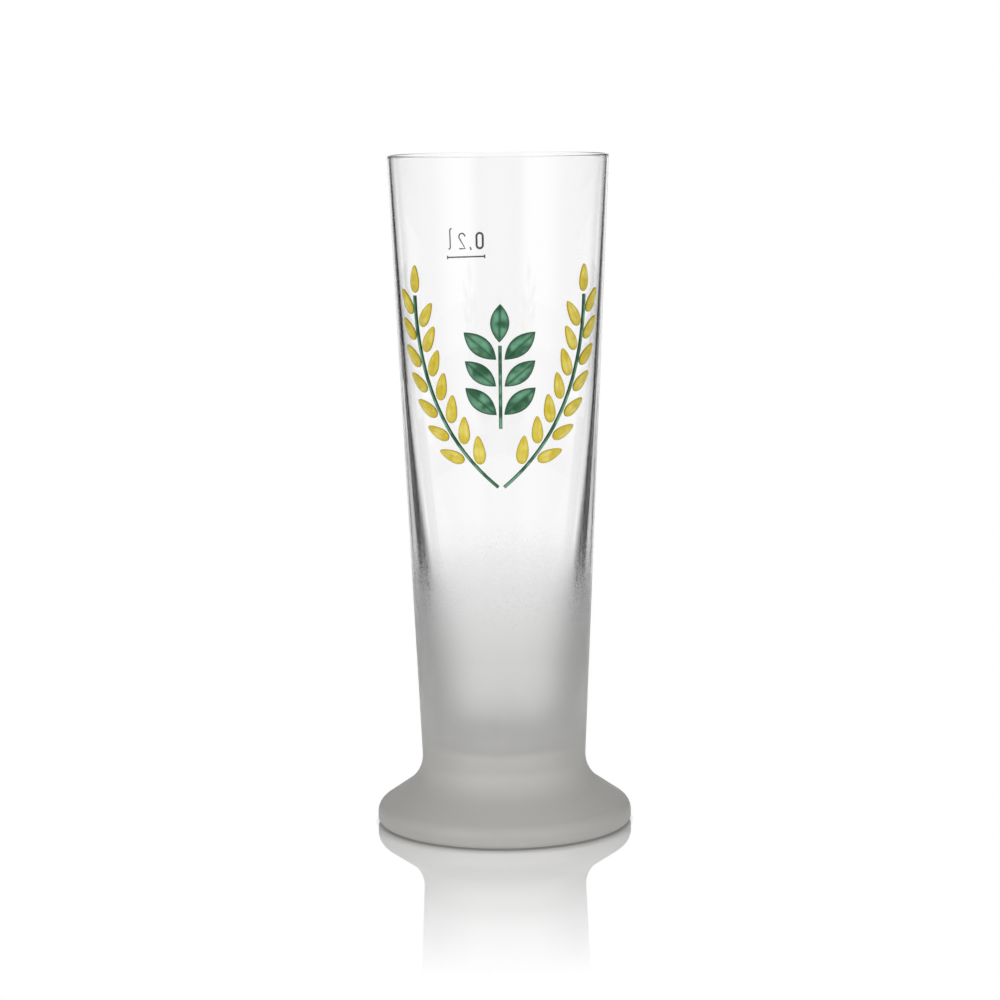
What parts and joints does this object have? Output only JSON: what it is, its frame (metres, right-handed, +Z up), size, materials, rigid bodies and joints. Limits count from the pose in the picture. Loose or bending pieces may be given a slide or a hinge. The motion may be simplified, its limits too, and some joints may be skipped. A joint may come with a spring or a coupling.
{
  "type": "footed beer glass",
  "caption": "Tall tapering clear beer glass on a flared foot, satin frosted below, with raised barley and leaf enamel on the front and a filling mark on the back.",
  "frame": {"origin": "centre of the foot's standing ring, on the table", "axes": "+Z up along the axis of the glass, -Y towards the decorated front, +X to the right of the front"},
  "size_m": [0.0692, 0.0692, 0.181],
  "materials": {
    "bowl_glass": "clear polished glass, satin frosted on the outside of its lower part with a soft fade",
    "foot_glass": "satin frosted glass",
    "yellow_enamel": "thick glossy fired enamel in relief",
    "green_enamel": "thick glossy fired enamel in relief",
    "grey_print": "thin fired screen print"
  },
  "bodies": {
    "root": {"bowl": "bowl_glass", "foot": "foot_glass", "ear_left_grain_01": "yellow_enamel", "ear_left_grain_02": "yellow_enamel", "ear_left_grain_03": "yellow_enamel", "ear_left_grain_04": "yellow_enamel", "ear_left_grain_05": "yellow_enamel", "ear_left_grain_06": "yellow_enamel", "ear_left_grain_07": "yellow_enamel", "ear_left_grain_08": "yellow_enamel", "ear_left_grain_09": "yellow_enamel", "ear_left_grain_10": "yellow_enamel", "ear_left_grain_11": "yellow_enamel", "ear_left_grain_12": "yellow_enamel", "ear_left_grain_13": "yellow_enamel", "ear_left_grain_14": "yellow_enamel", "ear_left_grain_15": "yellow_enamel", "ear_left_stem": "green_enamel", "ear_right_grain_01": "yellow_enamel", "ear_right_grain_02": "yellow_enamel", "ear_right_grain_03": "yellow_enamel", "ear_right_grain_04": "yellow_enamel", "ear_right_grain_05": "yellow_enamel", "ear_right_grain_06": "yellow_enamel", "ear_right_grain_07": "yellow_enamel", "ear_right_grain_08": "yellow_enamel", "ear_right_grain_09": "yellow_enamel", "ear_right_grain_10": "yellow_enamel", "ear_right_grain_11": "yellow_enamel", "ear_right_grain_12": "yellow_enamel", "ear_right_grain_13": "yellow_enamel", "ear_right_grain_14": "yellow_enamel", "ear_right_grain_15": "yellow_enamel", "ear_right_stem": "green_enamel", "sprig_leaf_01": "green_enamel", "sprig_leaf_02": "green_enamel", "sprig_leaf_03": "green_enamel", "sprig_leaf_04": "green_enamel", "sprig_leaf_05": "green_enamel", "sprig_leaf_06": "green_enamel", "sprig_leaf_07": "green_enamel", "sprig_stem": "green_enamel", "fill_line": "grey_print", "fill_digit_0": "grey_print", "fill_comma": "grey_print", "fill_digit_2": "grey_print", "fill_unit_l": "grey_print"}
  },
  "joints": []
}
